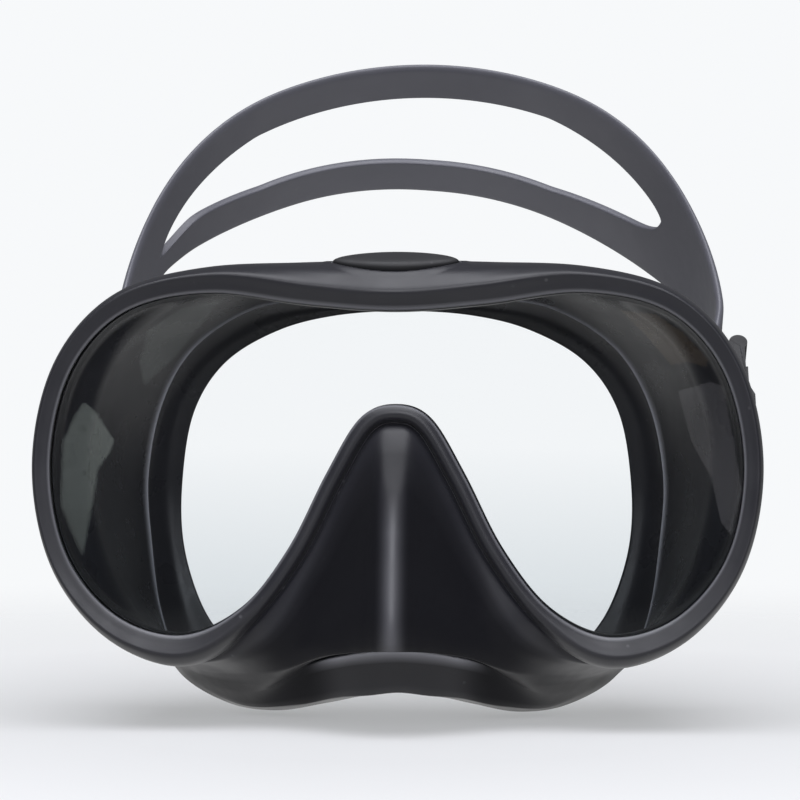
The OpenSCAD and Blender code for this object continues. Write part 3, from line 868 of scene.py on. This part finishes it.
def floor_material():
    """Pale table that fades into the white surroundings away from the mask, and dims in reflections."""
    s = Shader("floor_paint")
    distance = s.node("ShaderNodeVectorMath", operation="LENGTH")
    s.link(s.coords, distance.inputs[0])
    fade = s.node("ShaderNodeMapRange", interpolation_type="SMOOTHSTEP")
    for key, value in (("From Min", 0.12), ("From Max", 0.5), ("To Min", 0.0), ("To Max", 1.0)):
        fade.inputs[key].default_value = value
    s.link(distance.outputs["Value"], fade.inputs["Value"])
    shade = s.blend(s.noise(9, 3), (0.35, 0.35, 0.355), (0.365, 0.365, 0.37))
    bounce = s.ramp(distance.outputs["Value"], 0.07, 0.2, 0.37, 0.5)
    table = s.principled(Base_Color=shade, Roughness=0.6, Emission_Color=PALE_GLOW, Emission_Strength=bounce)
    clear = s.node("ShaderNodeBsdfTransparent")
    mixed = s.node("ShaderNodeMixShader")
    s.link(fade.outputs["Result"], mixed.inputs["Fac"])
    s.link(table.outputs["BSDF"], mixed.inputs[1])
    s.link(clear.outputs["BSDF"], mixed.inputs[2])
    path = s.node("ShaderNodeLightPath")
    dim = s.node("ShaderNodeEmission")
    s.link(s.ramp(distance.outputs["Value"], 0.15, 0.4, 0.75, 0.13), dim.inputs["Strength"])
    seen = s.node("ShaderNodeMixShader")
    s.link(path.outputs["Is Glossy Ray"], seen.inputs["Fac"])
    s.link(mixed.outputs["Shader"], seen.inputs[1])
    s.link(dim.outputs["Emission"], seen.inputs[2])
    return s.finish(seen.outputs["Shader"])


def add_floor():
    mesh = bpy.data.meshes.new("floor")
    half = FLOOR_HALF
    corners = [(-half, -half, 0), (half, -half, 0), (half, half, 0), (-half, half, 0)]
    mesh.from_pydata(corners, [], [(0, 1, 2, 3)])
    floor = bpy.data.objects.new("floor", mesh)
    floor.location = (0, 0.02, cad_box[0].z - FLOOR_GAP)
    bpy.context.scene.collection.objects.link(floor)
    mesh.materials.append(floor_material())


def add_light(name, place, aim, size, watts, colour):
    data = bpy.data.lights.new(name, "AREA")
    data.shape = "RECTANGLE"
    data.size, data.size_y = size
    data.energy = watts
    data.color = colour
    light = bpy.data.objects.new(name, data)
    light.location = place
    light.rotation_euler = (Vector(aim) - Vector(place)).to_track_quat("-Z", "Y").to_euler()
    bpy.context.scene.collection.objects.link(light)


WORLD_LIGHT = 0.24
WORLD_IN_GLOSS = 0.13
WORLD_SEEN = 0.96


def add_world():
    """Pale surroundings: white where the camera sees them, dimmer as a light."""
    world = bpy.data.worlds.new("studio")
    world.use_nodes = True
    tree = world.node_tree
    back = tree.nodes["Background"]
    back.inputs["Color"].default_value = PALE_GLOW
    path = tree.nodes.new("ShaderNodeLightPath")
    level = tree.nodes.new("ShaderNodeMix")
    level.inputs["A"].default_value = WORLD_LIGHT
    level.inputs["B"].default_value = WORLD_IN_GLOSS
    seen = tree.nodes.new("ShaderNodeMix")
    seen.inputs["B"].default_value = WORLD_SEEN
    tree.links.new(path.outputs["Is Glossy Ray"], level.inputs["Factor"])
    tree.links.new(path.outputs["Is Camera Ray"], seen.inputs["Factor"])
    tree.links.new(level.outputs["Result"], seen.inputs["A"])
    tree.links.new(seen.outputs["Result"], back.inputs["Strength"])
    bpy.context.scene.world = world


AIM = Vector((1.2, 0, 15 - ROW_DROP)) * MM
CAMERA_TURN = math.radians(3)
CAMERA_BACK = Vector((math.sin(CAMERA_TURN), -math.cos(CAMERA_TURN), 0))
CAMERA_DISTANCE = 0.6
CAMERA_LENS = 121.2
CARD_REACH = 0.9   # how far in front of the lens the cards stand
CARD_GRAIN = 9


def add_camera():
    data = bpy.data.cameras.new("camera")
    data.lens = CAMERA_LENS
    data.sensor_width = 36
    data.clip_start = 0.01
    camera = bpy.data.objects.new("camera", data)
    camera.location = AIM + CAMERA_BACK * CAMERA_DISTANCE
    camera.rotation_euler = (-CAMERA_BACK).to_track_quat("-Z", "Y").to_euler()
    bpy.context.scene.collection.objects.link(camera)
    bpy.context.scene.camera = camera


def glow(name, colour, low, high, scale):
    """A plain light with soft clouds in it."""
    s = Shader(name)
    level = s.ramp(s.noise(scale, 2), 0.3, 0.7, low, high)
    light = s.node("ShaderNodeEmission")
    light.inputs["Color"].default_value = (*colour, 1)
    s.link(level, light.inputs["Strength"])
    return s.finish(light.outputs["Emission"])


def add_card(name, corners, colour, low, high):
    """A pale card before the mask that shows only as a reflection on the lens, over these points of it."""
    seen_from = AIM + CAMERA_BACK * CAMERA_DISTANCE
    seen_from.y *= -1
    points = []
    for x, z in corners:
        on_lens = Vector((x, 0, z - ROW_DROP)) * MM
        ray = on_lens - seen_from
        points.append(tuple(seen_from + ray * ((seen_from.y + CARD_REACH) / seen_from.y)))
    mesh = bpy.data.meshes.new(name)
    mesh.from_pydata(points, [], [tuple(range(len(points)))])
    card = bpy.data.objects.new(name, mesh)
    bpy.context.scene.collection.objects.link(card)
    mesh.materials.append(glow(name + "_glow", colour, low, high, CARD_GRAIN))
    for kind in ("camera", "diffuse", "transmission", "volume_scatter", "shadow"):
        setattr(card, "visible_" + kind, False)


# Shapes of the dim reflections on the lens, [x, z] from the middle of its widest row
LEFT_CARD = [[-70, 14.5], [-67.5, 12.5], [-63.2, 6], [-64, 3.5], [-66.8, -0.5], [-68.5, -11], [-70.3, -20],
             [-73, -14], [-75.2, -8.5], [-74.8, 5.5], [-72.3, 11]]
HIGH_CARD = [[-55.5, 30.5], [-48, 35.5], [-39, 37.5], [-49, 25], [-56.3, 18.3], [-57.4, 23.5]]
BROWN_CARD = [[50, 35], [58, 34], [64, 30], [69.6, 24], [69.2, 22.4], [65, 23.5], [61.4, 22.8], [55.8, 29.5]]
RIGHT_CARD = [[63, 17], [70.3, 19], [73, 18], [75.2, 6], [77, -5], [74.7, -15], [72.5, -12.2], [70.3, -2.2],
              [65.8, 6]]

add_floor()
add_world()
LAMP = (0.96, 0.97, 1.02)
add_light("top_light", (0, -0.28, 0.76), (0, 0, 0), (1.0, 0.7), 10.5, LAMP)
add_light("front_light", (0.05, -0.75, 0.3), (0, 0, -0.02), (0.45, 0.35), 2.9, LAMP)
add_card("left_card", LEFT_CARD, (0.9, 1.0, 0.96), 1.3, 2.4)
add_card("high_card", HIGH_CARD, (0.9, 1.0, 0.97), 0.4, 0.8)
add_card("brown_card", BROWN_CARD, (1.0, 0.8, 0.6), 0.35, 0.8)
add_card("right_card", RIGHT_CARD, (0.95, 0.93, 1.0), 0.6, 1.1)
add_camera()
bpy.context.scene.view_settings.view_transform = "Standard"
